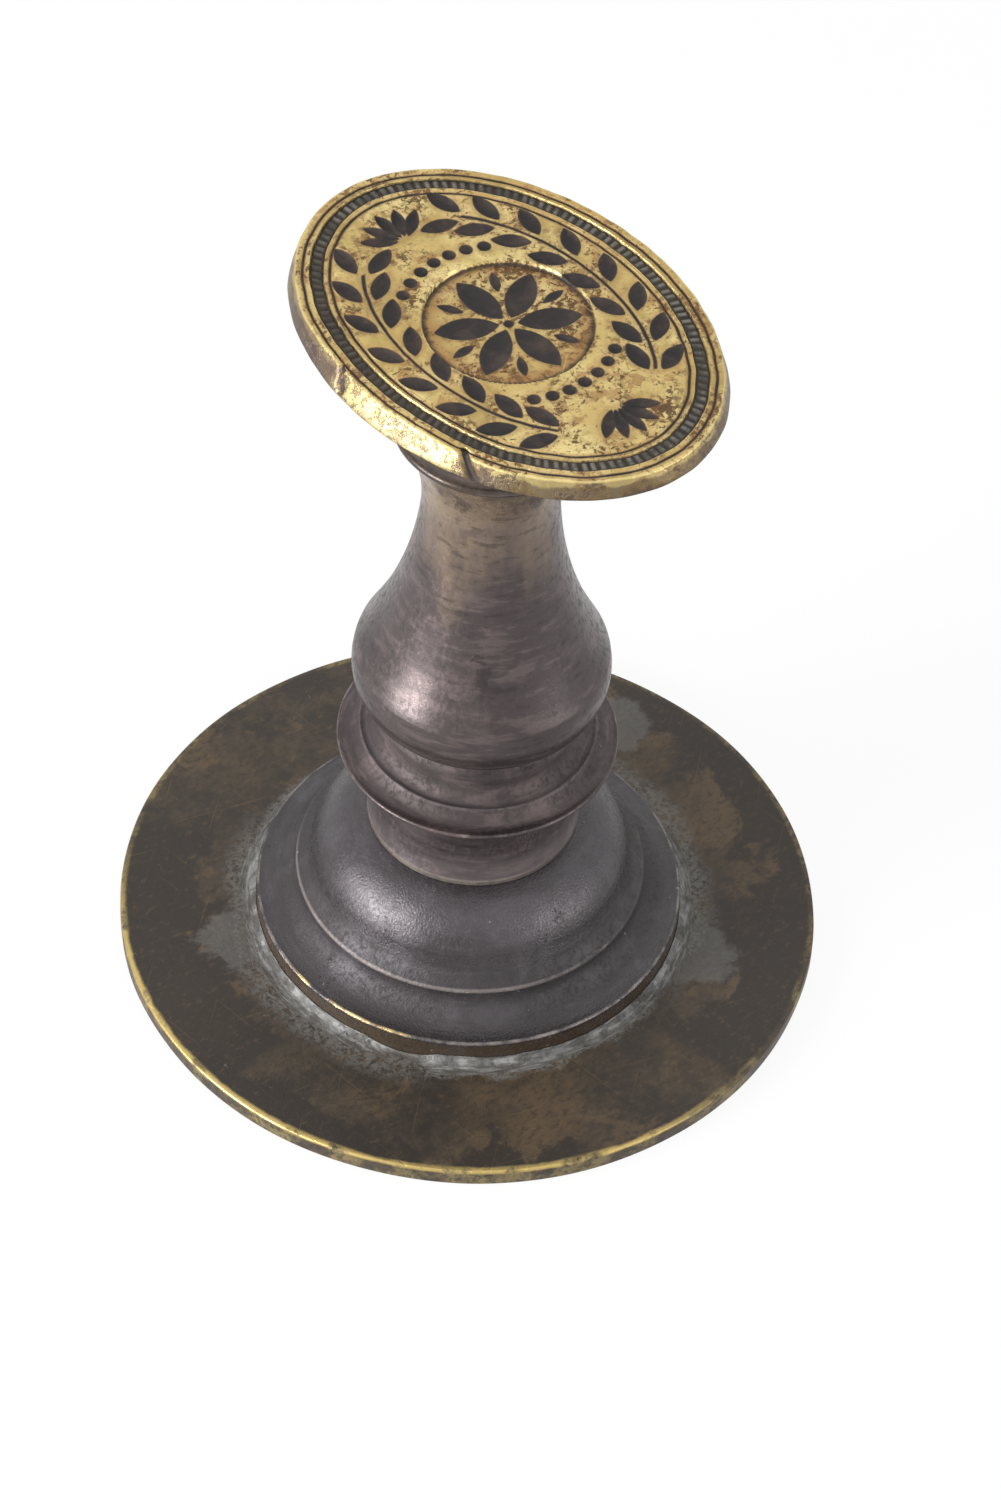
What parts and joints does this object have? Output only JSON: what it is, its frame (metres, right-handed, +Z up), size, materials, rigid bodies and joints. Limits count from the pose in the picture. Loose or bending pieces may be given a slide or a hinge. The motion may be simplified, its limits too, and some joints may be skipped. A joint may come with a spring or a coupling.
{
  "type": "wax seal stamp",
  "caption": "Double-ended wax seal stamp: a round die plate with a stepped foot, a turned baluster handle and a smaller engraved oval die on top, for pressing a mark into wax.",
  "frame": {"origin": "Centre of the round base die's lower face, which the stamp stands on.", "axes": "+Z up the handle's axis, +Y along the oval die's long axis towards the top of its device, +X to the right of the device."},
  "size_m": [0.062, 0.062, 0.0737],
  "materials": {
    "base_brass": "dark mottled patina on brass, bright worn rim",
    "solder": "dull grey soft solder",
    "foot_bronze": "dark purple-brown patina, satin",
    "stem_bronze": "dark brown patina with fine lathe marks, satin",
    "shank_bronze": "dark brown patina, satin",
    "die_brass": "worn yellow brass with dark recesses"
  },
  "bodies": {
    "root": {"base_die": "base_brass", "foot_solder": "solder", "foot": "foot_bronze", "stem": "stem_bronze", "shank_solder": "solder", "die_shank": "shank_bronze", "die_solder": "solder", "oval_die": "die_brass"}
  },
  "joints": []
}
